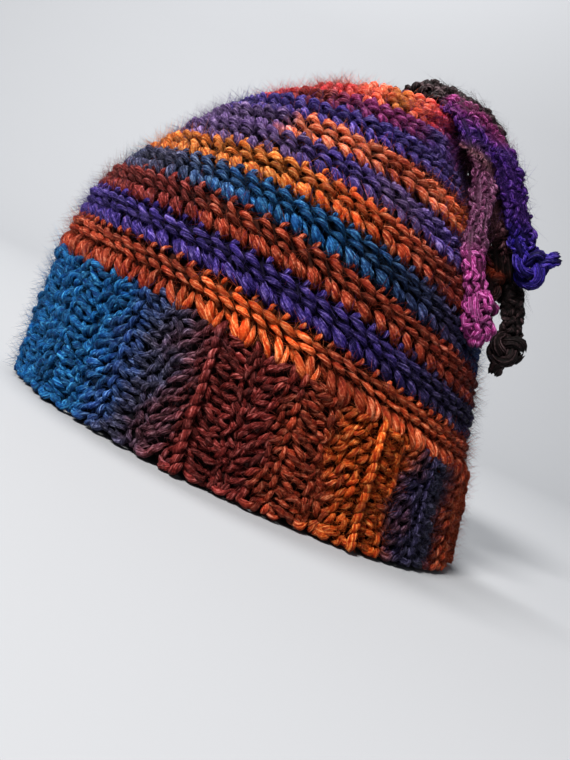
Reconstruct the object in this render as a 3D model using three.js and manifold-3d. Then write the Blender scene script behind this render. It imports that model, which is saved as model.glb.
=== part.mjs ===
// A crocheted winter hat: a ribbed band worked sideways, a striped crown worked in rounds, a puckered
// button of yarn that draws the top in, and four knotted tails that hang from it.
// Millimetres, +Z up. The hat stands on its rim at z = 0 with the forehead towards -Y.
import * as THREE from 'three';
import { ParametricGeometry } from 'three/addons/geometries/ParametricGeometry.js';
import { mergeVertices } from 'three/addons/utils/BufferGeometryUtils.js';
import Module from 'manifold-3d';

// Driving dimensions
const WALL = 6; // thickness of the bulky crochet fabric
const FIT_GAP = 0.3; // clearance between pieces that touch
const RIM_WIDTH_TO_LENGTH = 0.825; // a head is narrower from ear to ear than from front to back
const TOP_WIDTH_TO_LENGTH = 0.97; // above the head the crown closes to a nearly round ring
const TOP_HEIGHT = 180;

const RIBS = 18; // two crochet rows make one rib of the band
const RIB_RELIEF = 1.8; // how far a rib stands out of the groove beside it
const RIB_STEPS = 6; // facets across one rib

const ROUND_RELIEF = 1.4; // how far the middle of a round stands out of the seams above and below it
const CROWN_STEPS = 60; // facets round the crown
const PLEATS = 10; // puckers where the top is drawn in
const PLEAT_DEPTH = 1.3;
const FIRST_PLEATED_ROUND = 9;

// The rings where one course of crochet meets the next, from the rim to the drawn-in top.
// halfLength: from the middle of the ring to its front. shift: how far that middle lies towards the nape.
// height: of the ring over the rim. frontRise: how much higher the front is than that. sideRise: the sides.
const COURSES = [
  { halfLength: 104.5, shift: 2.0, height: 0, frontRise: 0, sideRise: 0 },
  { halfLength: 101.5, shift: -5.0, height: 50, frontRise: 9, sideRise: 7.5 },
  { halfLength: 98.5, shift: -7.0, height: 64, frontRise: 9.5, sideRise: 8.5 },
  { halfLength: 95.5, shift: -8.0, height: 77.5, frontRise: 9.5, sideRise: 9.5 },
  { halfLength: 90.5, shift: -7.5, height: 90, frontRise: 9, sideRise: 11 },
  { halfLength: 84, shift: -7.0, height: 103, frontRise: 6.5, sideRise: 11.5 },
  { halfLength: 76, shift: -8.0, height: 116.5, frontRise: 2.5, sideRise: 10 },
  { halfLength: 67, shift: -10.0, height: 130, frontRise: -1, sideRise: 7.5 },
  { halfLength: 57.5, shift: -12.0, height: 143, frontRise: -4, sideRise: 5 },
  { halfLength: 47.5, shift: -11.0, height: 155, frontRise: -5, sideRise: 2.5 },
  { halfLength: 37, shift: -7.0, height: 165, frontRise: -4, sideRise: 1 },
  { halfLength: 27, shift: 0.0, height: 173.5, frontRise: -2.5, sideRise: 0.5 },
  { halfLength: 17, shift: 8.0, height: TOP_HEIGHT, frontRise: 0, sideRise: 0 },
];
const TOP_OF_BAND = 1; // the ring where the band ends and the crown starts
const LAST_RING = COURSES.length - 1;

const GATHER_RADIUS = 12.5;
const GATHER_HEIGHT = 10;
const GATHER_LOBES = 8;
const GATHER_LOBE_DEPTH = 1.2;
const GATHER_CENTRE = new THREE.Vector3(0, 12, TOP_HEIGHT + FIT_GAP);

const TAIL_SIDES = 8;
const TAIL_STEPS = 20;
const KNOT_RING_RADIUS = 5.8; // middle of the strand in the overhand knot
const KNOT_STRAND_RADIUS = 2.8; // the strip is squeezed where it is knotted
const NUB_RADIUS = 3.2; // the cut end that sticks out of a knot

// Knit and crochet surface: points on a ring, inset for the inner face of the fabric

function onCourse(course, angle, inset = 0, drop = 0) {
  const forward = Math.cos(angle);
  const sideways = Math.sin(angle);
  const roundness = (course.height / TOP_HEIGHT) ** 2;
  const widthToLength = THREE.MathUtils.lerp(RIM_WIDTH_TO_LENGTH, TOP_WIDTH_TO_LENGTH, roundness);
  return new THREE.Vector3(
    (course.halfLength * widthToLength - inset) * sideways,
    course.shift - (course.halfLength - inset) * forward,
    course.height + course.frontRise * forward + course.sideRise * sideways ** 2 - drop,
  );
}

function courseBetween(lower, upper, share) {
  const course = {};
  for (const column of Object.keys(lower)) {
    course[column] = THREE.MathUtils.lerp(lower[column], upper[column], share);
  }
  return course;
}

// How the fabric leans at a ring: the inset and drop that lead from its outer to its inner face.
function wallAt(index) {
  if (index <= TOP_OF_BAND) return { inset: WALL, drop: 0 };
  const below = COURSES[index - 1];
  const above = COURSES[Math.min(index + 1, LAST_RING)];
  const climb = above.height - below.height;
  const narrowing = below.halfLength - above.halfLength;
  const slant = Math.hypot(climb, narrowing);
  return { inset: (WALL * climb) / slant, drop: (WALL * narrowing) / slant };
}

// One closed skin over a list of rows; each row gives its point at an angle round the hat.
function skinOverRows(rows, steps, closesOnItself) {
  const stacks = closesOnItself ? rows.length : rows.length - 1;
  const place = (u, v, target) => {
    const row = rows[Math.round(v * stacks) % rows.length];
    const step = Math.round(u * steps) % steps;
    target.copy(row((step / steps) * 2 * Math.PI));
  };
  return new ParametricGeometry(place, steps, stacks);
}

// One rib has its ridge at the middle of the forehead.
function ribRelief(angle) {
  const acrossRib = ((angle * RIBS) / (2 * Math.PI) + 0.5) % 1;
  return RIB_RELIEF * Math.sin(Math.PI * acrossRib);
}

// The band: ribs outside, plain inside, flat where it stands, and slanted along the crown's first ring.
function bandGeometry() {
  const rim = COURSES[0];
  const top = COURSES[TOP_OF_BAND];
  const rows = [];
  for (const share of [0, 1 / 3, 2 / 3, 1]) {
    const course = courseBetween(rim, top, share);
    rows.push((angle) => onCourse(course, angle, -ribRelief(angle)));
  }
  for (const share of [1, 0.5, 0]) {
    const course = courseBetween(rim, top, share);
    rows.push((angle) => onCourse(course, angle, WALL));
  }
  return skinOverRows(rows, RIBS * RIB_STEPS, true);
}

function pleatRelief(index, angle) {
  if (index < FIRST_PLEATED_ROUND || index >= LAST_RING) return 0;
  return PLEAT_DEPTH * Math.cos(PLEATS * angle);
}

// The crown: a dome with a ridge for each round outside, smooth inside, and open at the bottom.
function crownGeometry() {
  const insideTop = new THREE.Vector3(GATHER_CENTRE.x, GATHER_CENTRE.y, TOP_HEIGHT - WALL);
  const outsideTop = new THREE.Vector3(GATHER_CENTRE.x, GATHER_CENTRE.y, TOP_HEIGHT);
  const rows = [() => insideTop];
  for (let index = LAST_RING; index >= TOP_OF_BAND; index -= 1) {
    const { inset, drop } = wallAt(index);
    const lift = index === TOP_OF_BAND ? FIT_GAP : 0;
    rows.push((angle) => onCourse(COURSES[index], angle, inset, drop - lift));
  }
  for (let index = TOP_OF_BAND; index < LAST_RING; index += 1) {
    const lift = index === TOP_OF_BAND ? FIT_GAP : 0;
    const middle = courseBetween(COURSES[index], COURSES[index + 1], 0.5);
    const { inset, drop } = wallAt(index + 1);
    const outwards = (ROUND_RELIEF * inset) / WALL;
    const upwards = (ROUND_RELIEF * drop) / WALL;
    rows.push((angle) => onCourse(COURSES[index], angle, -pleatRelief(index, angle), -lift));
    rows.push((angle) => onCourse(middle, angle, -outwards - pleatRelief(index, angle), -upwards));
  }
  rows.push((angle) => onCourse(COURSES[LAST_RING], angle));
  rows.push(() => outsideTop);
  return skinOverRows(rows, CROWN_STEPS, false);
}

// The drawn-in top: a low button with lobes, as yarn pulled tight makes. spare makes it larger all round.
function gatherGeometry(spare = 0) {
  const radius = GATHER_RADIUS + spare;
  const height = GATHER_HEIGHT + spare;
  const outline = [
    { out: 0, up: -spare },
    { out: 0.8, up: -spare },
    { out: 1, up: 0.3 * height },
    { out: 0.85, up: 0.75 * height },
    { out: 0.45, up: height },
    { out: 0, up: 0.9 * height },
  ];
  const rows = outline.map(({ out, up }) => (angle) => {
    const reach = out * (radius + GATHER_LOBE_DEPTH * Math.cos(GATHER_LOBES * angle));
    return new THREE.Vector3(reach * Math.sin(angle), -reach * Math.cos(angle), up);
  });
  return skinOverRows(rows, GATHER_LOBES * 3, false).translate(...GATHER_CENTRE.toArray());
}

// Solids are joined and cut with manifold-3d

const wasm = await Module();
wasm.setup();

function toSolid(geometry) {
  const bare = geometry.clone();
  bare.deleteAttribute('normal');
  bare.deleteAttribute('uv');
  const welded = mergeVertices(bare, 1e-3);
  const corners = welded.index.array;
  const triVerts = [];
  for (let i = 0; i < corners.length; i += 3) {
    const [a, b, c] = corners.slice(i, i + 3);
    if (a !== b && b !== c && c !== a) triVerts.push(a, b, c);
  }
  return new wasm.Manifold(
    new wasm.Mesh({
      numProp: 3,
      vertProperties: new Float32Array(welded.attributes.position.array),
      triVerts: new Uint32Array(triVerts),
    }),
  );
}

function toGeometry(solid) {
  const mesh = solid.getMesh();
  const geometry = new THREE.BufferGeometry();
  geometry.setAttribute('position', new THREE.BufferAttribute(mesh.vertProperties, 3));
  geometry.setIndex(new THREE.BufferAttribute(mesh.triVerts, 1));
  geometry.computeVertexNormals();
  return geometry;
}

// A turn that points a knot's thin side along faces and its long side up towards the strip.
function knotTurn(faces, strip) {
  const thin = new THREE.Vector3(...faces).normalize();
  const across = new THREE.Vector3().crossVectors(strip, thin).normalize();
  const long = new THREE.Vector3().crossVectors(thin, across);
  return new THREE.Matrix4().makeBasis(across, long, thin);
}

// A tail: a strip along a hand-laid route, an overhand knot near its end, and the end that sticks out.
function tailGeometry({ width, thickness, route, knotCentre, knotFaces, knotScale, nubAway }) {
  const section = new THREE.Shape();
  for (let side = 0; side < TAIL_SIDES; side += 1) {
    const angle = (side / TAIL_SIDES) * 2 * Math.PI;
    const x = 0.5 * thickness * Math.cos(angle);
    const y = 0.5 * width * Math.sin(angle);
    if (side === 0) section.moveTo(x, y);
    else section.lineTo(x, y);
  }
  const centre = new THREE.Vector3(...knotCentre);
  const points = route.map((point) => new THREE.Vector3(...point));
  const strip = new THREE.ExtrudeGeometry(section, {
    steps: TAIL_STEPS,
    extrudePath: new THREE.CatmullRomCurve3([...points, centre]),
  });
  const knot = new THREE.TorusKnotGeometry(KNOT_RING_RADIUS, KNOT_STRAND_RADIUS, 30, 7)
    .scale(...knotScale)
    .applyMatrix4(knotTurn(knotFaces, points[points.length - 1].clone().sub(centre)))
    .translate(...knotCentre);
  const nubReach = new THREE.Vector3(...nubAway);
  const nubTurn = new THREE.Quaternion().setFromUnitVectors(
    new THREE.Vector3(0, 1, 0),
    nubReach.clone().normalize(),
  );
  const nub = new THREE.CapsuleGeometry(NUB_RADIUS, nubReach.length(), 3, 8)
    .applyQuaternion(nubTurn)
    .translate(...centre.clone().addScaledVector(nubReach, 0.5).toArray());
  const whole = toSolid(strip).add(toSolid(knot)).add(toSolid(nub));
  return toGeometry(whole.subtract(toSolid(gatherGeometry(FIT_GAP))));
}

// Each tail hangs where it was arranged: points from the gather down to the knot, in millimetres.
// width and thickness are the strip's; one of them is a broad flat strip behind the narrow ones.
const TAILS = {
  tail_violet: {
    colour: 0x4b2a82,
    width: 12,
    thickness: 7,
    route: [[6, 17, 188], [7, 29, 185.5], [8, 40, 181.5], [8, 50, 177], [8, 58, 170.5], [7, 65, 162], [5, 72, 153]],
    knotCentre: [2, 86, 138],
    knotFaces: [1, 0, 0],
    knotScale: [0.85, 1, 1],
    nubAway: [0, 8, 8],
  },
  tail_black: {
    colour: 0x241a20,
    width: 11,
    thickness: 7,
    route: [
      [-6, 4, 187], [-8, 15, 192.5], [-8, 27, 192], [-9, 39, 189.5], [-10, 49, 184.5], [-10, 57, 176],
      [-10, 65, 162], [-10, 73, 146], [-10, 82, 130], [-9, 91, 115],
    ],
    knotCentre: [-8, 94, 101],
    knotFaces: [1, 0, 0],
    knotScale: [0.9, 0.8, 1],
    nubAway: [0, 0, -11],
  },
  tail_pink: {
    colour: 0xa34a8c,
    width: 11,
    thickness: 7,
    route: [
      [13.5, 16, 186.5], [18, 29, 181.5], [21, 41, 169.5], [25, 48, 158], [33, 51, 146], [42, 53, 133], [49, 56, 122],
    ],
    knotCentre: [50, 67, 105],
    knotFaces: [0.8, 0.55, 0.25],
    knotScale: [0.8, 1.05, 1],
    nubAway: [1, 3, -10],
  },
  tail_mauve: {
    colour: 0x5a3f4c,
    width: 16,
    thickness: 5,
    route: [
      [-1, 19, 190], [-1, 28, 188.5], [-1, 37, 181], [-1, 44, 170], [-1, 52, 158], [-1, 60, 147], [-2, 67, 136],
    ],
    knotCentre: [-2, 74, 124],
    knotFaces: [1, 0.6, 0],
    knotScale: [0.65, 0.75, 0.7],
    nubAway: [-1, 0, -6],
  },
};

function yarn(colour) {
  return new THREE.MeshStandardMaterial({ color: colour, roughness: 0.9, metalness: 0 });
}

function addPiece(group, name, geometry, colour) {
  const piece = new THREE.Mesh(geometry, yarn(colour));
  piece.name = name;
  group.add(piece);
}

const hat = new THREE.Group();
addPiece(hat, 'band', bandGeometry(), 0x57302a);
addPiece(hat, 'crown', crownGeometry(), 0xb0592c);
addPiece(hat, 'gather', gatherGeometry(), 0x1f171c);
for (const [name, tail] of Object.entries(TAILS)) {
  addPiece(hat, name, tailGeometry(tail), tail.colour);
}

export default hat;
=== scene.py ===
import bmesh
import bpy
import numpy as np
from mathutils import Matrix, Vector


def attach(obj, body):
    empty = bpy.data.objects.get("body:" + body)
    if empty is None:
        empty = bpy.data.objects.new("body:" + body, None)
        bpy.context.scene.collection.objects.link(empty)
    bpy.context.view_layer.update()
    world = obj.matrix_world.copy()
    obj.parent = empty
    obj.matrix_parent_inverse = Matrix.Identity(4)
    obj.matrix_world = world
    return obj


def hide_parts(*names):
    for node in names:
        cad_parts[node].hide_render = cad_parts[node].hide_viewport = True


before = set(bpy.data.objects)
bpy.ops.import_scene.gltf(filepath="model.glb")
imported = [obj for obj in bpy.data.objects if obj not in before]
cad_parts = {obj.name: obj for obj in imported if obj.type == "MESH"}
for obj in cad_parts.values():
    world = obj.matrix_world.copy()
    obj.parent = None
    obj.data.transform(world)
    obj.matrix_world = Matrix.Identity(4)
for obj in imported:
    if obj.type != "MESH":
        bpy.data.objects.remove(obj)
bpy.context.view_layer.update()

# Camera: a little under half a metre from the hat's middle on the wearer's left side, 74 mm above
# the floor, and turned 25 degrees about its own axis, so that the hat's top leans to the right.
PICTURE_WIDTH = 570
FOCAL_PIXELS = 1000
SENSOR_WIDTH = 36  # mm
camera_place = Vector((0.45735, 0.002, 0.07404))
camera_aim = Vector((0.0, 0.00745, 0.04464))
camera_up = Vector((-0.06308, -0.42621, 0.90242))

lens = bpy.data.cameras.new("camera")
lens.sensor_fit = "HORIZONTAL"
lens.sensor_width = SENSOR_WIDTH
lens.lens = SENSOR_WIDTH * FOCAL_PIXELS / PICTURE_WIDTH
camera = bpy.data.objects.new("camera", lens)
bpy.context.collection.objects.link(camera)
back = (camera_place - camera_aim).normalized()
right = camera_up.cross(back).normalized()
turn = Matrix((right, back.cross(right), back)).transposed()
camera.matrix_world = Matrix.Translation(camera_place) @ turn.to_4x4()
bpy.context.scene.camera = camera

# Floor and light: a plain pale sheet that lies on the floor and curves up behind the hat, a soft
# window light from the forehead's side, a lamp for the sheet behind, and a dim bluish room.
SHEET_REACH = 4  # to the camera's side, to either hand and upwards
SHEET_FLAT_END = -0.9
SHEET_BEND_RADIUS = 0.6
SHEET_DROP = 0.0005  # leaves room for the stitches that the hat stands on
sheet_line = [(SHEET_FLAT_END, 0)]
for degrees in range(10, 91, 10):
    bend = np.radians(degrees)
    sheet_line.append((
        SHEET_FLAT_END - SHEET_BEND_RADIUS * np.sin(bend),
        SHEET_BEND_RADIUS - SHEET_BEND_RADIUS * np.cos(bend),
    ))
sheet_line.append((SHEET_FLAT_END - SHEET_BEND_RADIUS, SHEET_REACH))
sheet_shape = bmesh.new()
ends = [sheet_shape.verts.new((SHEET_REACH, side, 0)) for side in (-SHEET_REACH, SHEET_REACH)]
edge = sheet_shape.edges.new(ends)
for out, up in sheet_line:
    grown = bmesh.ops.extrude_edge_only(sheet_shape, edges=[edge])["geom"]
    corners = [part for part in grown if isinstance(part, bmesh.types.BMVert)]
    for corner in corners:
        corner.co.x, corner.co.z = out, up
    edge = sheet_shape.edges.get(corners)
bmesh.ops.recalc_face_normals(sheet_shape, faces=sheet_shape.faces)
for face in sheet_shape.faces:
    face.smooth = True
floor_mesh = bpy.data.meshes.new("floor")
sheet_shape.to_mesh(floor_mesh)
sheet_shape.free()
floor = bpy.data.objects.new("floor", floor_mesh)
floor.location.z = -SHEET_DROP
bpy.context.collection.objects.link(floor)
floor_paint = bpy.data.materials.new("floor_paint")
floor_paint.use_nodes = True
floor_surface = floor_paint.node_tree.nodes["Principled BSDF"]
floor_surface.inputs["Base Color"].default_value = (0.30, 0.31, 0.33, 1)
floor_surface.inputs["Roughness"].default_value = 0.9
floor_surface.inputs["Specular IOR Level"].default_value = 0.1
floor.data.materials.append(floor_paint)


def soft_light(name, place, aim, size, power, tint):
    """A round lamp of this diameter in metres and power in watts, turned towards its aim."""
    lamp = bpy.data.lights.new(name, "AREA")
    lamp.shape = "DISK"
    lamp.size = size
    lamp.energy = power
    lamp.color = tint
    light = bpy.data.objects.new(name, lamp)
    bpy.context.collection.objects.link(light)
    light.location = place
    light.rotation_euler = (Vector(place) - Vector(aim)).to_track_quat("Z", "Y").to_euler()


soft_light(
    "window", place=(0.98, -0.60, 1.0), aim=(0, 0, 0.1), size=0.34, power=46, tint=(1.0, 0.97, 0.93),
)
soft_light(
    "sheet_lamp", place=(-0.35, -0.4, 1.6), aim=(-1.5, 0, 0.6), size=0.8, power=49,
    tint=(1.0, 0.985, 0.96),
)
room = bpy.data.worlds.new("room")
room.use_nodes = True
room.node_tree.nodes["Background"].inputs["Color"].default_value = (0.68, 0.71, 0.76, 1)
room.node_tree.nodes["Background"].inputs["Strength"].default_value = 0.24
bpy.context.scene.world = room
bpy.context.scene.view_settings.view_transform = "Standard"

# Crown rounds: half double crochet worked round and round in one bulky strand whose dye changes
# slowly along its length. Each stitch is a leaning post of two legs under a pair of slanting loops,
# and a short back loop peeks out under the next round. The strand is a soft roving, barely twisted.
MM = 0.001

# The ring at the foot of each round, from the band's top edge to the gather: half its length,
# how far its middle lies towards the nape, its height, and how much higher its front and sides are.
RINGS = np.array([
    (0.1015, -0.0050, 0.0500, 0.0090, 0.0075),
    (0.0985, -0.0070, 0.0640, 0.0095, 0.0085),
    (0.0955, -0.0080, 0.0775, 0.0095, 0.0095),
    (0.0905, -0.0075, 0.0900, 0.0090, 0.0110),
    (0.0840, -0.0070, 0.1030, 0.0065, 0.0115),
    (0.0760, -0.0080, 0.1165, 0.0025, 0.0100),
    (0.0670, -0.0100, 0.1300, -0.0010, 0.0075),
    (0.0575, -0.0120, 0.1430, -0.0040, 0.0050),
    (0.0475, -0.0110, 0.1550, -0.0050, 0.0025),
    (0.0370, -0.0070, 0.1650, -0.0040, 0.0010),
    (0.0270, 0.0000, 0.1735, -0.0025, 0.0005),
    (0.0170, 0.0080, 0.1800, 0.0000, 0.0000),
    (0.0115, 0.0120, 0.1812, 0.0000, 0.0000),
])
TOP_HEIGHT = 0.180
RIM_WIDTH_TO_LENGTH = 0.825
TOP_WIDTH_TO_LENGTH = 0.97


def ring_point(values, angle):
    """Where a ring of these measures passes at an angle round the hat, counted from the forehead."""
    half, shift, height, front, side = np.moveaxis(values, -1, 0)
    rounder = (TOP_WIDTH_TO_LENGTH - RIM_WIDTH_TO_LENGTH) * (height / TOP_HEIGHT) ** 2
    width = RIM_WIDTH_TO_LENGTH + rounder
    forward, sideways = np.cos(angle), np.sin(angle)
    return np.stack([
        half * width * sideways,
        shift - half * forward,
        height + front * forward + side * sideways**2,
    ], -1)


def crown_point(level, angle):
    """A point of the crown's outside; level counts the rounds upwards from the band."""
    last = len(RINGS) - 1
    level = np.asarray(level, float)
    low = np.clip(np.floor(level), 0, last - 1).astype(int)
    share = (level - low)[..., None]
    start, end = RINGS[low], RINGS[low + 1]
    before = np.where(low[..., None] > 0, RINGS[low - 1], 2 * start - end)
    after = np.where(low[..., None] + 2 <= last, RINGS[np.minimum(low + 2, last)], 2 * end - start)
    leave, arrive = (end - before) / 2, (after - start) / 2
    smooth = (
        start
        + leave * share
        + (3 * (end - start) - 2 * leave - arrive) * share**2
        + (2 * (start - end) + leave + arrive) * share**3
    )
    values = np.where(share < 0, start + leave * share, smooth)
    return ring_point(values, angle)


def place_on(surface, level, angle, across, along, out):
    """Stitch measures in metres, laid on a surface at a level and an angle round the hat."""
    tiny = 1e-4
    up = (surface(level + tiny, angle) - surface(level, angle)) / tiny
    level = level + along / np.linalg.norm(up, axis=-1)
    here = surface(level, angle)
    side = (surface(level, angle + tiny) - here) / tiny
    angle = angle + across / np.linalg.norm(side, axis=-1)
    here = surface(level, angle)
    up = surface(level + tiny, angle) - here
    side = surface(level, angle + tiny) - here
    face = np.cross(side, up)
    face /= np.linalg.norm(face, axis=-1)[..., None]
    return here + face * out[..., None]


# The roving grows thicker and thinner every few millimetres
uneven_spinning = bpy.data.textures.new("uneven_spinning", "CLOUDS")
uneven_spinning.noise_scale = 0.0022
uneven_spinning.noise_depth = 1
STRAND_LUMPS = 1.1 * MM
WELD = 1e-6  # closes the strands' tips, where their radius is nothing


def yarn_object(name, places, radii, tones_and_shades, sides=8, smooth=2, lumps=STRAND_LUMPS):
    """Many strands as one mesh. places is strands x points x 3, radii is strands x points, and
    tones_and_shades has one value from 0 to 1 for each strand, from the last strand to the first: a
    lightness that is partly random tone and partly painted shade. sides are the faces round a strand,
    and smooth is how many steps its mesh takes from one point to the next."""
    curve = bpy.data.curves.new(name, "CURVE")
    curve.dimensions = "3D"
    curve.bevel_depth = 1
    curve.bevel_resolution = (sides - 4) // 2
    curve.resolution_u = smooth
    points = places.shape[1]
    for route, thickness in zip(places, radii):
        spline = curve.splines.new("NURBS")
        spline.points.add(points - 1)
        spline.points.foreach_set("co", np.column_stack([route, np.ones(points)]).ravel())
        spline.points.foreach_set("radius", thickness)
        spline.order_u = 3
        spline.use_endpoint_u = True
    bent = bpy.data.objects.new(name + "_route", curve)
    bpy.context.collection.objects.link(bent)
    bpy.context.view_layer.update()
    mesh = bpy.data.meshes.new_from_object(bent)
    bpy.data.objects.remove(bent)
    bpy.data.curves.remove(curve)
    each = len(mesh.vertices) // len(places)
    tone_and_shade = mesh.attributes.new("tone_and_shade", "FLOAT", "POINT")
    tone_and_shade.data.foreach_set("value", np.repeat(tones_and_shades[::-1], each))
    shape = bmesh.new()
    shape.from_mesh(mesh)
    bmesh.ops.remove_doubles(shape, verts=shape.verts, dist=WELD)
    bmesh.ops.recalc_face_normals(shape, faces=shape.faces)
    for face in shape.faces:
        face.smooth = True
    shape.to_mesh(mesh)
    shape.free()
    piece = bpy.data.objects.new(name, mesh)
    bpy.context.collection.objects.link(piece)
    uneven = piece.modifiers.new("uneven", "DISPLACE")
    uneven.texture = uneven_spinning
    uneven.strength = lumps
    uneven.mid_level = 0.5
    bpy.context.view_layer.update()
    graph = bpy.context.evaluated_depsgraph_get()
    lumpy = bpy.data.meshes.new_from_object(piece.evaluated_get(graph))
    piece.modifiers.clear()
    piece.data = lumpy
    bpy.data.meshes.remove(mesh)
    lumpy.name = name
    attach(piece, "root")
    return piece


# The dyes in the strand, as sRGB colours
DYES = {
    "black": "#1d1113",
    "umber": "#34272a",
    "brown": "#2e1718",
    "burgundy": "#682623",
    "brick": "#853924",
    "rust": "#aa502d",
    "coral": "#d0664e",
    "copper": "#bf5f31",
    "amber": "#a64e1b",
    "gold": "#ab6630",
    "salmon": "#b96649",
    "red": "#b03a3e",
    "magenta": "#752c5e",
    "pink": "#92407a",
    "violet": "#42226c",
    "ultra": "#2f217a",
    "plum": "#59456e",
    "grape": "#47376e",
    "indigo": "#3d2f6e",
    "navy": "#2d2744",
    "denim": "#2c4878",
    "teal": "#1d507c",
    "blue": "#1b5a8a",
    "ink": "#1c385a",
    "slate": "#3d3c52",
    "mauve": "#54323c",
    "heather": "#5e3350",
}


def linear(dye):
    """A dye's sRGB digits as the shader's linear colour."""
    digits = DYES[dye].lstrip("#")
    shares = [int(digits[i:i + 2], 16) / 255 for i in (0, 2, 4)]
    return [s / 12.92 if s <= 0.04045 else ((s + 0.055) / 1.055) ** 2.4 for s in shares]


def reckoned(tree, operation, *values):
    """What a Math node gives; each value is a number or what another node gives."""
    made = tree.nodes.new("ShaderNodeMath")
    made.operation = operation
    for socket, value in zip(made.inputs, values):
        if isinstance(value, bpy.types.NodeSocket):
            tree.links.new(value, socket)
        else:
            socket.default_value = value
    return made.outputs[0]


def rescaled(tree, value, start=0, end=1, low=0, high=1):
    """What a Map Range node gives: the value from start to end as one from low to high."""
    made = tree.nodes.new("ShaderNodeMapRange")
    tree.links.new(value, made.inputs["Value"])
    for name, number in (("From Min", start), ("From Max", end), ("To Min", low), ("To Max", high)):
        made.inputs[name].default_value = number
    return made.outputs["Result"]


def noise(tree, place, scale, detail, roughness=0.5):
    """What a Noise Texture gives at a place."""
    made = tree.nodes.new("ShaderNodeTexNoise")
    tree.links.new(place, made.inputs["Vector"])
    for name, number in (("Scale", scale), ("Detail", detail), ("Roughness", roughness)):
        made.inputs[name].default_value = number
    return made.outputs["Fac"]


def dye_bath(tree, stops, hangs):
    """The colour at a spot, through stops of (degrees round the hat, dye) or, where the piece
    hangs, of (height in mm, dye). The stops wander to and fro a little, as the stitches do."""
    spot = tree.nodes.new("ShaderNodeTexCoord").outputs["Object"]
    place = tree.nodes.new("ShaderNodeSeparateXYZ")
    tree.links.new(spot, place.inputs[0])
    if hangs:
        unit, wandering, mark_here = MM, 12 * MM, place.outputs["Z"]
    else:
        forward = reckoned(tree, "MULTIPLY", place.outputs["Y"], -1)
        bearing = reckoned(tree, "ARCTAN2", place.outputs["X"], forward)
        unit, wandering, mark_here = np.radians(1), 0.35, bearing
    shifted = reckoned(tree, "MULTIPLY_ADD", noise(tree, spot, scale=70, detail=3), wandering, mark_here)
    first, last = stops[0][0], stops[-1][0]
    share = rescaled(tree, shifted, first * unit + wandering / 2, last * unit + wandering / 2)
    dyes = tree.nodes.new("ShaderNodeValToRGB")
    dyes.color_ramp.interpolation = "EASE"
    ramp = dyes.color_ramp.elements
    while len(ramp) < len(stops):
        ramp.new(0.5)
    for element, (mark, dye) in zip(ramp, stops):
        element.position = (mark - first) / (last - first)
        element.color = (*linear(dye), 1)
    tree.links.new(share, dyes.inputs["Fac"])
    return dyes.outputs["Color"]


def yarn_material(name, roughness):
    """A dull material that is still without its colour, and its surface."""
    material = bpy.data.materials.new(name)
    material.use_nodes = True
    surface = material.node_tree.nodes["Principled BSDF"]
    surface.inputs["Roughness"].default_value = roughness
    surface.inputs["Specular IOR Level"].default_value = 0.1
    return material, surface


def finished(tree, surface, colour, lightness, height, depth):
    """Gives a material's surface its colour, made lighter or darker, and a relief of this depth,
    which stands out where the height is great, or where it is small if the depth is less than 0."""
    dyed = tree.nodes.new("ShaderNodeVectorMath")
    dyed.operation = "SCALE"
    tree.links.new(colour, dyed.inputs[0])
    tree.links.new(lightness, dyed.inputs["Scale"])
    tree.links.new(dyed.outputs["Vector"], surface.inputs["Base Color"])
    relief = tree.nodes.new("ShaderNodeBump")
    relief.inputs["Distance"].default_value = abs(depth)
    relief.invert = depth < 0
    tree.links.new(height, relief.inputs["Height"])
    tree.links.new(relief.outputs["Normal"], surface.inputs["Normal"])


def wool(name, stops, hangs=False):
    """Soft roving of wool and silk: fine fibres along each strand and a nap over them."""
    material, surface = yarn_material(name, roughness=0.6)
    tree = material.node_tree

    # The strand's own fibres: long streaks that wind slowly round it
    unrolled = tree.nodes.new("ShaderNodeUVMap")
    unrolled.uv_map = "UVMap"
    strand = tree.nodes.new("ShaderNodeSeparateXYZ")
    tree.links.new(unrolled.outputs["UV"], strand.inputs[0])
    along, around = strand.outputs["X"], strand.outputs["Y"]
    tone_and_shade = tree.nodes.new("ShaderNodeAttribute")
    tone_and_shade.attribute_name = "tone_and_shade"
    fibres_at = tree.nodes.new("ShaderNodeCombineXYZ")
    tree.links.new(along, fibres_at.inputs["X"])
    tree.links.new(reckoned(tree, "MULTIPLY_ADD", along, 0.45, around), fibres_at.inputs["Y"])
    tree.links.new(tone_and_shade.outputs["Fac"], fibres_at.inputs["Z"])
    stretch = tree.nodes.new("ShaderNodeMapping")
    stretch.inputs["Scale"].default_value = (1.6, 11, 40)
    tree.links.new(fibres_at.outputs[0], stretch.inputs["Vector"])
    fibres = noise(tree, stretch.outputs["Vector"], scale=1, detail=3, roughness=0.65)

    # A strand is lighter or darker than its neighbour, partly at random and partly as painted shade by
    # how deep it lies, and it is painted darker towards its ends, as shade where it dives under its
    # neighbours
    depth = rescaled(tree, tone_and_shade.outputs["Fac"], low=0.55, high=2.0)
    arch = reckoned(tree, "SINE", reckoned(tree, "MULTIPLY", along, np.pi))
    end_shade = rescaled(tree, arch, start=0.25, end=0.8, low=0.42)
    lightness = reckoned(tree, "MULTIPLY", end_shade, depth)

    # Painted shade and highlight: the dye is painted deep and pure down between the fibres and the nap,
    # as their shade, and paler where they stand up, as their glints
    spot = tree.nodes.new("ShaderNodeTexCoord").outputs["Object"]
    nap = noise(tree, spot, scale=1000, detail=2)
    fleck = reckoned(tree, "MULTIPLY_ADD", nap, 0.35, fibres)
    dye = tree.nodes.new("ShaderNodeGamma")
    tree.links.new(dye_bath(tree, stops, hangs), dye.inputs["Color"])
    glint_and_shade_gamma = rescaled(tree, fleck, start=0.52, end=0.82, low=1.85, high=0.68)
    tree.links.new(glint_and_shade_gamma, dye.inputs["Gamma"])
    finished(tree, surface, dye.outputs["Color"], lightness, height=fleck, depth=1.2 * MM)
    return material


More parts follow.
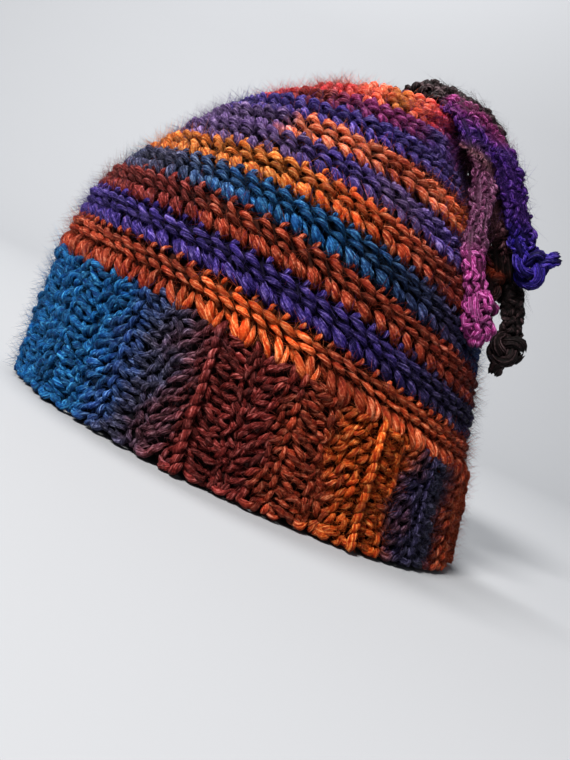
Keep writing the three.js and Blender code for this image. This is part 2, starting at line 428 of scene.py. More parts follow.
def bow(start, end, rise, plump, sag=0.0, sink=1.8):
    """The line of a strand, in mm: a row of (across, up, out, plumpness) for each of its points.
    start and end say how far across and up its ends lie, rise how far out of the fabric it comes
    between them, sag how far it bends left on the way, and sink how deep both ends dive."""
    share = np.array([0, 0.25, 0.5, 0.75, 1])
    arch = np.sin(np.pi * share)
    start, end = np.array(start, float), np.array(end, float)
    left = np.array([start[1] - end[1], end[0] - start[0]])
    left /= np.linalg.norm(left)
    flat = start + share[:, None] * (end - start) + (sag * arch)[:, None] * left
    out = (rise + sink) * arch**0.5 - sink
    return np.column_stack([flat, out, [0, *plump, 0]])


YARN = 1.22  # mm, half the thickness of the roving where it is plump
LEFT_LEG = bow((0.6, -1.2), (-5.4, 7.6), 2.2, (1.3, 1.45, 0.9))
RIGHT_LEG = bow((2.4, -1.0), (-3.6, 7.8), 1.5, (1.1, 1.25, 0.8))
HIDDEN_LEG = bow((4.6, 0.0), (-1.8, 8.2), -0.6, (0.9, 1.0, 0.8), sink=3)
LOWER_LOOP = bow((-5.6, 9.4), (4.2, 6.5), 2.7, (0.9, 1.05, 0.85))
UPPER_LOOP = bow((-8.4, 12.7), (1.6, 9.8), 3.3, (1.0, 1.15, 0.95))
BACK_LOOP = bow((-6.4, 12.3), (-3.6, 17.3), 1.9, (0.8, 0.95, 0.7))
STITCH = [LEFT_LEG, RIGHT_LEG, HIDDEN_LEG, LOWER_LOOP, UPPER_LOOP, BACK_LOOP]
# The first round goes into the ends of the band's rows, three legs to a hole, so they fan out
FAN = [
    bow((0.6, -5.4), (-7.0, 7.8), 2.7, (1.2, 1.5, 1.0), sag=0.4),
    bow((1.0, -5.2), (-1.2, 8.2), 3.2, (1.3, 1.6, 1.0), sag=-0.8),
    bow((1.6, -5.0), (4.0, 7.0), 2.3, (1.2, 1.4, 0.9), sag=-1.6),
]
FANS = 45

# How many stitches each round has, and where round it the strand has which dye: from the nape, at
# -180 degrees, by the wearer's right side to the forehead, at 0, and on by the left side
ROUNDS = [
    (90, [(-180, "burgundy"), (-90, "rust"), (0, "brick"), (55, "brick"), (75, "copper"),
          (92, "copper"), (106, "brick"), (128, "rust"), (160, "brick"), (180, "brick")]),
    (78, [(-180, "navy"), (-60, "indigo"), (40, "indigo"), (95, "indigo"), (150, "navy"),
          (180, "navy")]),
    (76, [(-180, "brick"), (-60, "burgundy"), (45, "burgundy"), (70, "brick"), (90, "brick"),
          (110, "brick"), (180, "burgundy")]),
    (72, [(-180, "navy"), (-40, "denim"), (30, "slate"), (70, "teal"), (90, "teal"), (105, "ink"),
          (135, "navy"), (180, "denim")]),
    (68, [(-180, "brown"), (-60, "rust"), (40, "gold"), (70, "gold"), (88, "copper"), (115, "brick"),
          (145, "burgundy"), (180, "brown")]),
    (62, [(-180, "slate"), (-40, "plum"), (60, "plum"), (80, "indigo"), (105, "plum"), (130, "grape"),
          (180, "navy")]),
    (55, [(-180, "salmon"), (-90, "magenta"), (20, "plum"), (50, "plum"), (62, "salmon"), (88, "salmon"),
          (104, "brick"), (125, "salmon"), (150, "rust"), (180, "brick")]),
    (49, [(-180, "navy"), (-60, "violet"), (30, "indigo"), (55, "indigo"), (90, "indigo"),
          (130, "grape"), (180, "plum")]),
    (42, [(-180, "violet"), (-60, "burgundy"), (20, "red"), (50, "burgundy"), (75, "magenta"),
          (105, "magenta"), (125, "grape"), (180, "magenta")]),
    (33, [(-180, "magenta"), (-60, "salmon"), (50, "red"), (72, "coral"), (92, "gold"), (108, "coral"),
          (124, "red"), (150, "magenta"), (180, "magenta")]),
    (24, [(-180, "brown"), (-60, "burgundy"), (60, "coral"), (95, "gold"), (115, "coral"), (135, "red"),
          (180, "brown")]),
    (16, [(-180, "black"), (-60, "brown"), (70, "brown"), (110, "magenta"), (180, "black")]),
]
SEATED = 1.0  # mm that the strands are pulled into the fabric


def stitches(rng, surface, levels, angles, strands, yarn=YARN, loose=0.3, sway=6):
    """All strands of all stitches at these places of a surface: points, radii and tones, which are partly
    random and partly painted shade. loose is how many mm a strand strays from its place, and sway how
    many degrees it leans from its lay."""
    count = len(angles)
    places, radii, tones_and_shades = [], [], []
    for strand in strands:
        across, along, out, plump = strand.T
        middle = across.mean(), along.mean()
        lean = np.radians(rng.normal(0, sway, (count, 1)))
        across, along = across - middle[0], along - middle[1]
        turned = (
            across * np.cos(lean) - along * np.sin(lean) + middle[0],
            across * np.sin(lean) + along * np.cos(lean) + middle[1],
        )
        nudge = rng.normal(0, loose, (3, count, 1))
        waver = rng.normal(0, 0.6 * loose, (2, count, len(strand)))
        fat = 1 + rng.normal(0, 0.1, (count, 1))
        places.append(place_on(
            surface,
            np.broadcast_to(levels[:, None], (count, len(strand))),
            np.broadcast_to(angles[:, None], (count, len(strand))),
            MM * (turned[0] + nudge[0] + waver[0]),
            MM * (turned[1] + nudge[1] + waver[1]),
            MM * (out + nudge[2] - SEATED),
        ))
        places[-1][..., 2] = np.maximum(places[-1][..., 2], MM * yarn)
        radii.append(MM * yarn * fat * plump)
        # yarn_object deals the tones and painted shades out from the last strand to the first, so in the
        # crown's rounds the legs get the high tones of the loops, and the lower loops are the darkest
        # strands
        # Painted shade: a strand's tone is random around a mean that is lighter the further the strand
        # stands out of the fabric, and darker the deeper it lies
        proud = np.clip(out.max() / (2.4 * yarn), 0, 1)
        tones_and_shades.append(np.clip(rng.normal(0.2 + 0.4 * proud, 0.2, count), 0, 1))
    return np.concatenate(places), np.concatenate(radii), np.concatenate(tones_and_shades)


def joined(*parts):
    """Several lots of strands as one."""
    return [np.concatenate(lot) for lot in zip(*parts)]


# Fine loose fibres stand off the yarn everywhere, each a long shallow curl that a strand lets go of
FIBRE = 0.055  # mm, half the thickness
FIBRE_ROOT = 1.2  # mm above the surface
FIBRE_LENGTH = 9  # mm at most
FIBRE_LIFT = 9  # mm at most


def stray_fibres(name, rng, surface, levels, angles, length=FIBRE_LENGTH, lift=FIBRE_LIFT):
    """One curl of three points for each place."""
    count = len(angles)
    share = np.linspace(0, 1, 3)
    heading = rng.uniform(0, 2 * np.pi, (count, 1))
    bend = rng.normal(0, 1.2, (count, 1))
    reach = rng.uniform(0.4, 1, (count, 1)) * length
    across = reach * share * np.cos(heading + bend * share)
    along = reach * share * np.sin(heading + bend * share)
    height = rng.uniform(0.2, 1, (count, 1)) * lift
    curl = rng.uniform(1.2, 2.6, (count, 1))
    out = FIBRE_ROOT + height * np.sin(share * curl)
    level = np.broadcast_to(levels[:, None], across.shape)
    angle = np.broadcast_to(angles[:, None], across.shape)
    places = place_on(surface, level, angle, MM * across, MM * along, MM * out)
    places[..., 2] = np.maximum(places[..., 2], MM)
    radii = np.tile(MM * FIBRE * np.array([1.3, 1, 0]), (count, 1))
    return yarn_object(name, places, radii, rng.uniform(0.6, 1, count), sides=4, smooth=1, lumps=0)


def melded(name, parts):
    """Several yarn objects as one."""
    with bpy.context.temp_override(active_object=parts[0], selected_editable_objects=parts):
        bpy.ops.object.join()
    parts[0].name = name
    parts[0].data.name = name
    return parts[0]


FIRST_SEED = 100
FAN_SHIFT = 0.51  # of a fan's width, from the middle of the forehead to the first fan
FIBRES_PER_STITCH = 26
FIBRES_PER_ROUND = 100
TOP_FIBRE_LEVEL = 9.8  # leaves the gather clear
FINE_ROUNDS = 4  # have eight faces round a strand, and the rounds above them six
for number, (count, dyes) in enumerate(ROUNDS):
    rng = np.random.default_rng(FIRST_SEED + number)
    angles = (np.arange(count) + rng.uniform()) * 2 * np.pi / count
    levels = np.full(count, float(number))
    if number == 0:
        fans = (np.arange(FANS) + FAN_SHIFT) * 2 * np.pi / FANS
        strands = joined(
            stitches(rng, crown_point, levels[:FANS], fans, FAN),
            stitches(rng, crown_point, levels, angles, STITCH[2:]),
        )
    elif number == len(ROUNDS) - 1:
        strands = stitches(rng, crown_point, levels, angles, STITCH[:3])
    else:
        strands = stitches(rng, crown_point, levels, angles, STITCH)
    fibres = FIBRES_PER_STITCH * count + FIBRES_PER_ROUND
    roots = np.minimum(number + rng.uniform(0, 1, fibres), TOP_FIBRE_LEVEL)
    piece = melded(f"crown_round_{number + 1}", [
        yarn_object("round_stitches", *strands, sides=8 if number < FINE_ROUNDS else 6),
        stray_fibres("round_fibres", rng, crown_point, roots, rng.uniform(-np.pi, np.pi, fibres)),
    ])
    piece.data.materials.append(wool(f"round_{number + 1}_yarn", dyes))
    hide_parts("crown")

# Packed rings: the thickness of the crown's fabric behind its stitches, a ring for each round. The
# yarn is packed too tight there to see as strands. From outside it is painted nearly black, as
# shade in the gaps between the stitches, and on the inside of the hat it shows its bumps, with
# painted shade in the seams between them.
FABRIC = 0.0062  # from the crown's outside to its inside
PACKED_DEPTH = 0.0030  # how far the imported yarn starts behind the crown's outside
RING_STEPS = 96
LEVELS_PER_RING = 4
HOLLOW_SLANT = 0.03  # the hollow lies towards the hat's middle line and this far down


def shell(name, surface, levels, steps, depth, thickness):
    """A closed wall that follows a surface, depth behind it, from the first level to the last, with
    this many steps round."""
    shape = bmesh.new()
    mark = shape.verts.layers.float.new("bearing")
    made = bmesh.ops.create_circle(shape, segments=steps, radius=1, cap_ends=False)
    for corner in made["verts"]:
        corner[mark] = np.arctan2(corner.co.x, -corner.co.y)
    row, edges = made["verts"], shape.edges[:]
    for index, level in enumerate(levels):
        if index:
            grown = bmesh.ops.extrude_edge_only(shape, edges=edges)["geom"]
            row = [part for part in grown if isinstance(part, bmesh.types.BMVert)]
            edges = [part for part in grown if isinstance(part, bmesh.types.BMEdge)]
            edges = [edge for edge in edges if all(corner in row for corner in edge.verts)]
        bearings = np.array([corner[mark] for corner in row])
        none = np.zeros(len(row))
        spots = place_on(surface, np.full(len(row), float(level)), bearings, none, none, none - depth)
        for corner, spot in zip(row, spots):
            corner.co = spot
    bmesh.ops.recalc_face_normals(shape, faces=shape.faces)
    bmesh.ops.solidify(shape, geom=shape.faces[:], thickness=thickness)
    bmesh.ops.recalc_face_normals(shape, faces=shape.faces)
    inside = shape.verts.layers.float.new("inside")
    for corner in shape.verts:
        inwards = Vector((-corner.co.x, -corner.co.y, -HOLLOW_SLANT))
        corner[inside] = float(corner.normal.dot(inwards) > 0)
    for face in shape.faces:
        face.smooth = True
    mesh = bpy.data.meshes.new(name)
    shape.to_mesh(mesh)
    shape.free()
    piece = bpy.data.objects.new(name, mesh)
    bpy.context.collection.objects.link(piece)
    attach(piece, "root")
    return piece


def shaded_packed_wool(name, stops, hangs=False):
    """Tightly packed yarn, painted as shade: nearly black outside, as shade deep in the gaps between
    the stitches, and small bumps with seams painted dark between them, as shade in their creases,
    where it shows on the inside of the hat."""
    material, surface = yarn_material(name, roughness=0.9)
    tree = material.node_tree
    bumps = tree.nodes.new("ShaderNodeTexVoronoi")
    bumps.inputs["Scale"].default_value = 330
    tree.links.new(tree.nodes.new("ShaderNodeTexCoord").outputs["Object"], bumps.inputs["Vector"])
    off_middle = bumps.outputs["Distance"]
    inside = tree.nodes.new("ShaderNodeAttribute")
    inside.attribute_name = "inside"
    # Painted shade: darker towards the seams between the bumps, and much darker on the outside faces than
    # on the inside ones
    seam_shade = rescaled(tree, off_middle, end=0.8, low=1, high=0.25)
    gap_shade = rescaled(tree, inside.outputs["Fac"], low=0.16, high=0.8)
    lightness = reckoned(tree, "MULTIPLY", seam_shade, gap_shade)
    finished(tree, surface, dye_bath(tree, stops, hangs), lightness, height=off_middle, depth=-MM)
    return material


for number, (count, dyes) in enumerate(ROUNDS):
    levels = np.linspace(number, number + 1, LEVELS_PER_RING)
    ring = shell(
        f"crown_packed_{number + 1}", crown_point, levels, RING_STEPS, PACKED_DEPTH, FABRIC - PACKED_DEPTH
    )
    ring.data.materials.append(shaded_packed_wool(f"packed_{number + 1}_yarn", dyes))
    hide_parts("crown")

# Band: half double crochet worked sideways, to and fro into the back loops only, as one long strip
# closed into a ring. Two rows make a rib, with a cord of left-over loops down its ridge, slanting
# strands and knots on its slopes, and a deep groove between one rib and the next.
RIBS = 18
RIB_RELIEF = 0.0018
ROWS_UP = 8  # stitches in a row, from the rim to the crown
RIM_RING = np.array((0.1045, 0.0020, 0.0, 0.0, 0.0))  # in the measures of RINGS
BAND_YARN = 1.3  # mm


def band_point(level, angle):
    """A point of the band's outside; level goes from 0 at the rim to 1 where the crown starts."""
    share = np.asarray(level, float)[..., None]
    values = RIM_RING + (RINGS[0] - RIM_RING) * share
    relief = RIB_RELIEF * np.abs(np.cos(RIBS * angle / 2))
    values = values + relief[..., None] * np.array((1, 0, 0, 0, 0))
    return ring_point(values, angle)


def lay(lean, length, rise, plump=1.0, sag=0.0):
    """A strand centred on its place: its lean in degrees from towards the nape, and its mm."""
    half = 0.5 * length * np.array([np.cos(np.radians(lean)), np.sin(np.radians(lean))])
    return bow(-half, half, rise, (0.9 * plump, plump, 0.9 * plump), sag)


# The strands of one stitch on the forehead's side of a rib and on the nape's: how many ribs from the
# ridge, how far up the stitch, the lean in degrees, and the length, the rise and the bend in mm
FRONT_SLOPE = [
    (-0.50, 0.1, 80, 8, -0.4, 0.5), (-0.49, 0.6, 105, 8, -0.6, -0.5),
    (-0.43, 0.3, 48, 9, 1.0, 0.8), (-0.42, 0.8, 52, 9, -0.3, -0.4),
    (-0.34, 0.0, 40, 10, 2.2, 0.7), (-0.33, 0.5, 44, 10, 0.6, 0.7),
    (-0.24, 0.3, 46, 10, 2.3, 0.6), (-0.23, 0.8, 40, 10, 0.7, 0.6),
    (-0.14, 0.1, 58, 9, 2.0, -0.5), (-0.13, 0.6, 66, 8, 0.5, 0.6),
    (-0.06, 0.4, 25, 7, 0.8, 0.5), (-0.06, 0.9, 20, 7, -0.3, 0.5),
]
BACK_SLOPE = [
    (0.07, 0.2, -35, 8, 1.6, 0.9), (0.07, 0.7, -28, 8, 0.1, 0.9),
    (0.15, 0.4, -12, 9, 2.1, 1.0), (0.15, 0.9, -18, 9, 0.5, 1.0),
    (0.24, 0.1, -8, 9, 2.3, 1.1), (0.23, 0.6, -4, 9, 0.7, 0.8),
    (0.32, 0.3, -22, 8, 2.0, -0.8), (0.31, 0.8, 12, 8, 0.4, 0.9),
    (0.40, 0.0, 68, 7, 1.9, 0.4), (0.39, 0.5, 110, 7, 0.5, -0.6),
    (0.46, 0.3, 58, 7, 0.7, 0.5), (0.45, 0.8, 122, 7, 0.5, -0.5),
]
BAND_DYES = [
    (-180, "brick"), (-150, "burgundy"), (-120, "plum"), (-95, "navy"), (-60, "denim"), (-30, "teal"),
    (0, "blue"), (46, "blue"), (54, "denim"), (62, "slate"), (70, "mauve"), (77, "burgundy"),
    (93, "burgundy"), (102, "brick"), (111, "brick"), (119, "amber"), (132, "amber"), (136, "mauve"),
    (141, "navy"), (151, "slate"), (157, "brick"), (166, "rust"), (180, "brick"),
]
LOWEST_STRAND = 0.25  # stitches above the rim
HIGHEST_STRAND = 0.97  # of the band's height
STITCH_SPREAD = 0.8  # how much of a stitch's height its strands are spread over
rng = np.random.default_rng(7)
ribs, heights = np.meshgrid(np.arange(RIBS), np.arange(ROWS_UP), indexing="ij")
ribs, heights = ribs.ravel(), heights.ravel()
yarn = wool("band_yarn", BAND_DYES)
for name, slope in (("band_front_slopes", FRONT_SLOPE), ("band_back_slopes", BACK_SLOPE)):
    lots = []
    for across, lift, lean, length, rise, sag in slope:
        angles = (ribs + across) * 2 * np.pi / RIBS
        levels = (heights + LOWEST_STRAND + STITCH_SPREAD * lift) / ROWS_UP
        keep = levels < HIGHEST_STRAND
        strand = lay(lean, length, rise, sag=sag)
        lots.append(stitches(
            rng, band_point, levels[keep], angles[keep], [strand], BAND_YARN, loose=0.55, sway=14
        ))
    piece = yarn_object(name, *joined(*lots), sides=6)
    piece.data.materials.append(yarn)
    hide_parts("band")

# The cords down the ridges of the ribs, and the edge loops of the rows along the rim
STRONG_CORDS = (4, 6, 9, 13, 16)  # ribs whose cord stands well out
STRONG_LOOPS = 13
SHALLOW_LOOPS = 10
EDGE_LOOPS = 60
BAND_FIBRES = 7200
LOWEST_FIBRE = 0.06  # of the band's height
STRONG_CORD = bow((-1.3, -4.6), (1.3, 4.6), 4.6, (1.1, 1.35, 1.1), sink=-0.8)
SHALLOW_CORD = bow((-1.0, -3.8), (1.0, 3.8), 2.2, (0.9, 1.0, 0.85), sink=0.6)
EDGE_LOOP = bow((-5.4, 5.2), (5.4, 5.0), 2.4, (1.0, 1.2, 1.0), sag=-3.2, sink=1.0)
cord_lots = []
for number in range(RIBS):
    strong = number in STRONG_CORDS
    count, strand = (STRONG_LOOPS, STRONG_CORD) if strong else (SHALLOW_LOOPS, SHALLOW_CORD)
    levels = (np.arange(count) + 0.5) / count
    angles = np.full(count, number * 2 * np.pi / RIBS)
    cord_lots.append(stitches(
        rng, band_point, levels, angles, [strand], BAND_YARN, loose=0.2, sway=5
    ))
angles = np.arange(EDGE_LOOPS) * 2 * np.pi / EDGE_LOOPS
cord_lots.append(stitches(
    rng, band_point, np.zeros(EDGE_LOOPS), angles, [EDGE_LOOP], BAND_YARN, loose=0.25, sway=4
))
roots = rng.uniform(LOWEST_FIBRE, 1, BAND_FIBRES)
cords = melded("band_cords_and_edge", [
    yarn_object("cord_strands", *joined(*cord_lots)),
    stray_fibres("band_fibres", rng, band_point, roots, rng.uniform(-np.pi, np.pi, BAND_FIBRES)),
])
cords.data.materials.append(yarn)

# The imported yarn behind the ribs, from just over the rim up to the crown
STEPS_PER_RIB = 12
PACKED_LEVELS = np.linspace(0.05, 1.0, 9)
BAND_PACKED_DEPTH = 0.0022  # a little nearer to the outside than the crown's
inner_band = shell(
    "band_packed_yarn", band_point, PACKED_LEVELS, RIBS * STEPS_PER_RIB,
    BAND_PACKED_DEPTH, FABRIC - PACKED_DEPTH,
)
inner_band.data.materials.append(shaded_packed_wool("packed_band_yarn", BAND_DYES))
for piece in (cords, inner_band):
    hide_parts("band")

# Gather: the crown's last stitches drawn together with the dark end of the strand into a small
# puckered button. It is all loops, heaped over a packed middle.
GATHER_MIDDLE = (0.0, 0.012, 0.1795)
GATHER_RADIUS = 0.0122
GATHER_HEIGHT = 0.0110
GATHER_YARN = 1.25  # mm
PACKED_SHARE = 0.93  # of the button's size
DARK = [(150, "brown"), (183, "black"), (190, "umber")]


def gather_point(level, angle):
    """A point of the button's outside; level goes from 0 at its foot to 1 at its crown."""
    lean = np.asarray(level, float) * np.pi / 2
    return np.stack([
        GATHER_MIDDLE[0] + GATHER_RADIUS * np.cos(lean) * np.sin(angle),
        GATHER_MIDDLE[1] - GATHER_RADIUS * np.cos(lean) * np.cos(angle),
        GATHER_MIDDLE[2] + GATHER_HEIGHT * np.sin(lean),
    ], -1)


PUCKER = bow((-0.6, -3.8), (0.5, 3.8), 2.6, (1.0, 1.2, 0.95), sag=0.8, sink=1.2)
LOOP_OVER = bow((-4.2, 0.6), (4.2, -0.8), 2.2, (0.95, 1.1, 0.95), sag=1.2, sink=1.2)
# Rings of loops from the button's foot to its crown: at what level, how many, and of which kind
HEAP = [
    (0.05, 17, PUCKER), (0.28, 9, LOOP_OVER), (0.4, 13, PUCKER), (0.66, 8, LOOP_OVER), (0.85, 5, PUCKER),
]
rng = np.random.default_rng(31)
gather_lots = []
for level, count, strand in HEAP:
    angles = (np.arange(count) + rng.uniform()) * 2 * np.pi / count
    levels = np.full(count, level)
    gather_lots.append(stitches(
        rng, gather_point, levels, angles, [strand], GATHER_YARN, loose=0.4, sway=15
    ))
gather = yarn_object("gather_loops", *joined(*gather_lots))
gather.data.materials.append(wool("dark_yarn", DARK, hangs=True))
packed = bmesh.new()
bmesh.ops.create_icosphere(packed, subdivisions=3, radius=PACKED_SHARE)
bmesh.ops.scale(packed, verts=packed.verts, vec=(GATHER_RADIUS, GATHER_RADIUS, GATHER_HEIGHT))
bmesh.ops.translate(packed, verts=packed.verts, vec=GATHER_MIDDLE)
packed_mesh = bpy.data.meshes.new("gather_packed_yarn")
packed.to_mesh(packed_mesh)
packed.free()
packed_gather = bpy.data.objects.new("gather_packed_yarn", packed_mesh)
bpy.context.collection.objects.link(packed_gather)
packed_gather.data.materials.append(shaded_packed_wool("packed_gather_yarn", DARK, hangs=True))
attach(packed_gather, "root")
for piece in (gather, packed_gather):
    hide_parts("gather")

# Tails: four crocheted strips that grow out of the gather, each with its loops frilled along both
# edges and an overhand knot tied in its end. The knots show the strip pulled into tight folds.

# Every length is in mm. edges is how far outside a tail's width its edge stitches lie, or inside
# where it is less than 0, start the share of its width that it leaves the gather with, cores how
# many thick strands fill it, and faces the way it faces. yarn is half its yarn's thickness, sway how
# many degrees its strands lean to and fro, and frill the rise, plumpness and sway of its edge loops.
# The route starts in the gather and goes on to the knot's middle. The knot has its own way to face,
# its size along its three axes, the number and the yarn of its folds, the loops heaped on it, if
# any, and its cut end, the nub, as seen from its middle. The dyes go by height.
TAILS = {
    "tail_violet": {
        "slot": "violet_yarn", "width": 12, "thickness": 7, "edges": -0.9, "start": 1, "cores": 3,
        "faces": (1, 0.05, 0.05), "yarn": 0.95, "sway": 20, "frill": (2.0, 1.0, 25), "fibres": 700,
        "route": [(6, 17, 188), (7, 29, 185.5), (8, 40, 181.5), (8, 50, 177), (8, 58, 170.5),
                  (7, 65, 162), (5, 72, 153)],
        "knot": (2, 86, 138), "knot_faces": (1, 0, 0), "knot_size": (0.85, 1, 1), "folds": (9, 0.72),
        "nub": (0, 8, 8),
        "dyes": [(125, "ultra"), (144, "ultra"), (158, "violet"), (176, "violet"), (186, "magenta"),
                 (196, "mauve")],
    },
    "tail_black": {
        "slot": "dark_yarn", "width": 11, "thickness": 7, "edges": -0.9, "start": 1, "cores": 3,
        "faces": (1, 0.05, 0.05), "yarn": 1.3, "sway": 10, "frill": (0.4, 1.1, 6), "fibres": 1900,
        "route": [(-6, 4, 187), (-8, 15, 192.5), (-8, 27, 192), (-9, 39, 189.5), (-10, 49, 184.5),
                  (-10, 57, 176), (-10, 65, 162), (-10, 73, 146), (-10, 82, 130), (-9, 91, 115)],
        "knot": (-8, 94, 101), "knot_faces": (1, 0, 0), "knot_size": (0.9, 0.8, 1), "folds": (6, 1.25),
        "nub": (0, 0, -11),
        "dyes": [(85, "black"), (130, "black"), (150, "brown"), (180, "umber"), (195, "umber")],
    },
    "tail_pink": {
        "slot": "pink_yarn", "width": 11, "thickness": 7, "edges": -0.9, "start": 1, "cores": 3,
        "faces": (0.9, 0.35, 0.25), "yarn": 0.95, "sway": 20, "frill": (2.0, 1.0, 25), "fibres": 300,
        "route": [(13.5, 16, 186.5), (18, 29, 181.5), (21, 41, 169.5), (25, 48, 158), (33, 51, 146),
                  (42, 53, 133), (49, 56, 122)],
        "knot": (50, 67, 105), "knot_faces": (0.8, 0.55, 0.25), "knot_size": (0.8, 1.05, 1),
        "folds": (9, 0.72), "loops": 52, "nub": (1, 3, -10),
        "dyes": [(95, "pink"), (122, "pink"), (134, "heather"), (160, "heather"), (168, "mauve"),
                 (176, "violet"), (186, "magenta")],
    },
    "tail_mauve": {
        "slot": "mauve_yarn", "width": 16, "thickness": 5, "edges": 2.4, "start": 0.45, "cores": 7,
        "faces": (1, 0.05, 0.05), "yarn": 0.95, "sway": 10, "frill": (1.8, 1.0, 14), "fibres": 1800,
        "route": [(-1, 19, 190), (-1, 28, 188.5), (-1, 37, 181), (-1, 44, 170), (-1, 52, 158),
                  (-1, 60, 147), (-2, 67, 136)],
        "knot": (-2, 74, 124), "knot_faces": (1, 0.6, 0), "knot_size": (0.65, 0.75, 0.7),
        "folds": (8, 0.8), "nub": (-1, 0, -6),
        "dyes": [(112, "brown"), (124, "brown"), (129, "brick"), (135, "brown"), (148, "mauve"),
                 (170, "mauve"), (186, "umber")],
    },
}
FIRST_TAIL_SEED = 50
COLUMNS = 12  # of strands round a tail
ROW_PITCH = 4.0  # mm along a tail
ROW_STEP = 0.25  # rows between the points of a tail's line
BARE_ROWS = 1.3  # at both ends, hidden in the gather and in the knot
BARE_FIBRE_ROWS = 3
WIDENING = 60  # points of its line in which a tail would grow from nothing to its full width
FACES_IN = 0.8  # mm that the stitches of both faces lie inside the thickness
RIGHT_SLANT = lay(58, 7.6, 1.3, sag=1.0)
LEFT_SLANT = lay(122, 7.6, 1.3, sag=-1.0)
RIGHT_SHIFT = 0.3  # rows that a column of right slants is ahead
FRILL_SHIFT = 0.35  # rows that the edge loops are ahead
CORE_STEP = 4  # points of a tail's line to one of its cores
KNOT_RING = 5.6  # mm
KNOT_CORE = 2.1  # mm
BALL_REACH = (8.694, 9.338, 6.44)  # mm, of the loops heaped on a knot, along its three axes


def even_line(points, spacing):
    """Evenly spaced points on a smooth curve through the given ones."""
    points = np.array(points, float)
    points = np.vstack([2 * points[0] - points[1], points, 2 * points[-1] - points[-2]])
    steps = 60  # from one given point to the next
    where = np.linspace(0, len(points) - 3, steps * (len(points) - 3), endpoint=False)
    low = where.astype(int)
    share = (where - low)[:, None]
    a, b, c, d = points[low], points[low + 1], points[low + 2], points[low + 3]
    line = 0.5 * (
        2 * b
        + (c - a) * share
        + (2 * a - 5 * b + 4 * c - d) * share**2
        + (3 * b - a - 3 * c + d) * share**3
    )
    run = np.concatenate([[0], np.cumsum(np.linalg.norm(np.diff(line, axis=0), axis=1))])
    stops = np.linspace(0, run[-1], int(run[-1] / spacing) + 1)
    return np.stack([np.interp(stops, run, line[:, axis]) for axis in range(3)], -1)


def across_line(line, faces):
    """The directions across a line: one in its strip's width, one out of its face."""
    heading = np.gradient(line, axis=0)
    heading /= np.linalg.norm(heading, axis=1)[:, None]
    wide = np.cross(heading, faces)
    wide /= np.linalg.norm(wide, axis=1)[:, None]
    return wide, np.cross(wide, heading)


def strip_round(line, faces, half_widths, half_thickness, phase):
    """The surface of a strip along a line, for place_on; level counts rows of stitches."""
    wide, thick = across_line(line, faces)
    rows = np.arange(len(line))

    def surface(level, angle):
        level = level / ROW_STEP
        spot, side, out = [
            np.stack([np.interp(level, rows, lot[:, axis]) for axis in range(3)], -1)
            for lot in (line, wide, thick)
        ]
        # The strip swells and narrows, and its edges curl to and fro
        swell = 1 + 0.14 * np.sin(level * 0.7 + phase)[..., None]
        curl = 0.35 * np.sin(level * 0.23 + 2 * phase)[..., None]
        half_width = np.interp(level, rows, half_widths)
        across = (half_width * np.sin(angle))[..., None] * swell
        depth = half_thickness * np.cos(angle)[..., None] + curl * across
        return MM * (spot + side * across + out * depth)

    return surface


def cable(line, faces, count, reach, yarn, turns, rng):
    """Strands that run side by side round a line, this many turns from its start to its end, as a
    strip looks where it is pulled tight: points, radii and tones."""
    wide, thick = across_line(line, faces)
    share = np.linspace(0, 1, len(line))
    inner = (share > 0) & (share < 1)
    places, radii = [], []
    for number in range(count):
        angle = 2 * np.pi * (number / count + turns * share)
        wobble = 1 + 0.22 * np.sin(2 * np.pi * (5 * share + rng.uniform()))
        offset = wide * np.sin(angle)[:, None] + thick * np.cos(angle)[:, None]
        places.append(MM * (line + offset * (reach * wobble)[:, None]))
        radii.append(MM * yarn * inner * (1 + rng.normal(0, 0.08)))
    return np.array(places), np.array(radii), np.clip(rng.normal(0.5, 0.3, count), 0, 1)


def filling(name, line, radius):
    """One thick strand in the middle of a strip or a knot, given the lowest tone, so that it is painted
    in the darkest shade of its yarn.
    """
    thickness = np.full(len(line), MM * radius)
    thickness[[0, -1]] = 0
    return yarn_object(name, MM * line[None], thickness[None], np.array([0.0]))


def overhand_knot(middle, axes):
    """The line of a closed overhand knot: two turns round its middle, dipping through three times."""
    turns = np.linspace(0, 4 * np.pi, 33)
    reach = KNOT_RING * (2 + np.cos(1.5 * turns)) / 2
    return (
        middle
        + axes[0] * (reach * np.cos(turns))[:, None]
        + axes[1] * (reach * np.sin(turns))[:, None]
        + axes[2] * (KNOT_RING * np.sin(1.5 * turns) / 2)[:, None]
    )


def knot_ball(middle, axes):
    """The surface of a ball round a knot, for place_on; level goes from its foot, 0, to its top, 1."""

    def surface(level, angle):
        height = np.pi * (np.asarray(level, float) - 0.5)
        shares = (np.cos(height) * np.sin(angle), np.sin(height), np.cos(height) * np.cos(angle))
        spot = sum(
            reach * share[..., None] * axis for reach, share, axis in zip(BALL_REACH, shares, axes)
        )
        return MM * (middle + spot)

    return surface


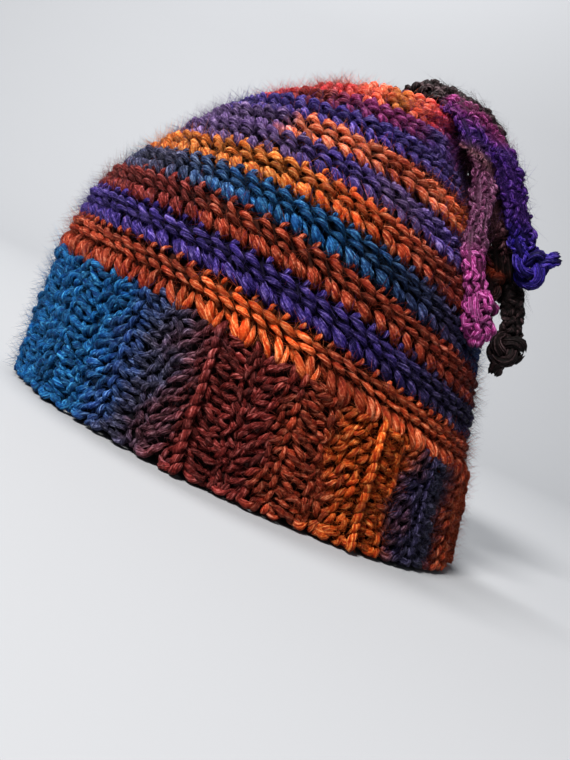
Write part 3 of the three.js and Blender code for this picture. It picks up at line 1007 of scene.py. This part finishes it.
for order, (name, tail) in enumerate(TAILS.items()):
    rng = np.random.default_rng(FIRST_TAIL_SEED + order)
    knot_middle = np.array(tail["knot"], float)
    line = even_line([*tail["route"], tail["knot"]], ROW_PITCH * ROW_STEP)
    rows = np.arange(BARE_ROWS, (len(line) - 1) * ROW_STEP - BARE_ROWS, 1.0)
    widening = np.clip(tail["start"] + np.arange(len(line)) / WIDENING, 0, 1)
    half_widths = (tail["width"] / 2 + tail["edges"]) * widening
    half_thickness = tail["thickness"] / 2 - FACES_IN
    strip = strip_round(line, tail["faces"], half_widths, half_thickness, phase=1.3 * order)
    lots = []
    for column in range(COLUMNS):
        angles = np.full(len(rows), column * 2 * np.pi / COLUMNS)
        strand, shift = (RIGHT_SLANT, RIGHT_SHIFT) if column % 2 else (LEFT_SLANT, 0)
        lots.append(stitches(
            rng, strip, rows + shift, angles, [strand], tail["yarn"], loose=0.35, sway=tail["sway"]
        ))
    rise, plump, sway = tail["frill"]
    frill = lay(95, 5.6, rise, plump, sag=0.6)
    for side in (np.pi / 2, -np.pi / 2):
        angles = np.full(len(rows), side)
        lots.append(stitches(
            rng, strip, rows + FRILL_SHIFT, angles, [frill], tail["yarn"], loose=0.6, sway=sway
        ))
    parts = [yarn_object(name + "_strip", *joined(*lots))]
    roots = rng.uniform(BARE_FIBRE_ROWS, rows[-1] - BARE_FIBRE_ROWS, tail["fibres"])
    angles = rng.uniform(-np.pi, np.pi, tail["fibres"])
    parts.append(stray_fibres(name + "_fibres", rng, strip, roots, angles, length=12, lift=7))
    wide = across_line(line, tail["faces"])[0]
    spread = (half_widths - half_thickness)[:, None]
    for side in np.linspace(-1, 1, tail["cores"]):
        core_line = (line + side * spread * wide)[::CORE_STEP]
        parts.append(filling(name + "_core", core_line, half_thickness - 0.2))

    # The overhand knot, its long side in line with the strip. The folds run round a direction a
    # hair askew of the knot's face, because no stretch of the line may run straight along it.
    thin = np.array(tail["knot_faces"], float)
    thin /= np.linalg.norm(thin)
    sideways = np.cross(tail["route"][-1] - knot_middle, thin)
    sideways /= np.linalg.norm(sideways)
    upright = np.cross(thin, sideways)
    size = tail["knot_size"]
    axes = (sideways * size[0], upright * size[1], thin * size[2])
    knot_line = overhand_knot(knot_middle, axes)
    folds, fold_yarn = tail["folds"]
    reach = 1.9 * size[0] ** 0.5
    parts.append(yarn_object(name + "_knot", *cable(
        knot_line, thin + 0.01, count=folds, reach=reach, yarn=fold_yarn, turns=1.4, rng=rng
    )))
    parts.append(filling(name + "_knot_core", knot_line, KNOT_CORE))
    if "loops" in tail:
        ball = knot_ball(knot_middle, axes)
        levels = rng.uniform(0.14, 0.86, tail["loops"])
        angles = rng.uniform(-np.pi, np.pi, tail["loops"])
        leans = (20, 100, 190, 290)
        lots = []
        for first, lean in enumerate(leans):
            own = slice(first, None, len(leans))
            curl = lay(lean, 8, 1.8, sag=2.4)
            lots.append(stitches(
                rng, ball, levels[own], angles[own], [curl], yarn=1.0, loose=0.5, sway=25
            ))
        parts.append(yarn_object(name + "_loops", *joined(*lots)))
    nub_line = knot_middle + np.array(tail["nub"]) * np.linspace(0.2, 1.25, 9)[:, None]
    parts.append(yarn_object(name + "_nub", *cable(
        nub_line, (1, 0.1, 0.1), count=8, reach=2.3, yarn=1.15, turns=0.25, rng=rng
    )))
    piece = melded(name + "_crochet", parts)
    piece.data.materials.append(wool(name + "_yarn", tail["dyes"], hangs=True))
    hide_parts(name)
